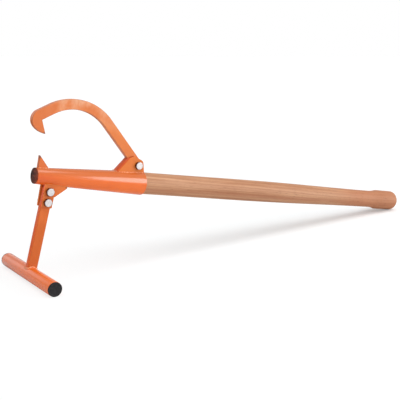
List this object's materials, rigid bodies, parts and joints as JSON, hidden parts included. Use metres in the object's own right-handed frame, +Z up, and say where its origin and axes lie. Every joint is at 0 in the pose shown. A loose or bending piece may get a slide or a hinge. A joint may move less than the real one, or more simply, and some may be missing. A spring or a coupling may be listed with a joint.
{
  "type": "log lifter",
  "caption": "Long wooden lever with a tapered steel socket, a fixed tooth, a swinging hook and a bolted leg with a round foot bar, for gripping a log and raising it off the ground.",
  "frame": {"origin": "middle of the tool's footprint, on the ground, with the tool standing on its foot bar and on the knob of the handle", "axes": "+X from the steel head towards the end of the handle, +Y across the tool to the side of the nuts, +Z up"},
  "size_m": [1.2426, 0.2616, 0.392],
  "materials": {
    "enamel": "satin orange enamel",
    "handle_wood": "clear-coated hardwood, lengthwise grain",
    "plug_plastic": "matt black moulding",
    "zinc": "bright zinc plate"
  },
  "bodies": {
    "tool": {"socket_tube": "enamel", "nose_plug": "plug_plastic", "handle": "handle_wood", "tooth": "enamel", "hook_bracket": "enamel", "hook_bolt": "zinc", "hook_washer": "zinc", "hook_nut": "zinc", "leg_plate_near": "enamel", "leg_plate_far": "enamel", "leg": "enamel", "leg_upper_bolt": "zinc", "leg_upper_washer": "zinc", "leg_upper_nut": "zinc", "leg_lower_bolt": "zinc", "leg_lower_washer": "zinc", "leg_lower_nut": "zinc", "foot_tube": "enamel", "foot_plug_near": "plug_plastic", "foot_plug_far": "plug_plastic"},
    "hook": {"hook": "enamel"}
  },
  "joints": [
    {"name": "hook_swing", "type": "hinge", "parent": "tool", "child": "hook", "pos_m": [-0.33101, 0, 0.23089], "axis": [0, 1, 0], "range_deg": [0, 130]}
  ]
}
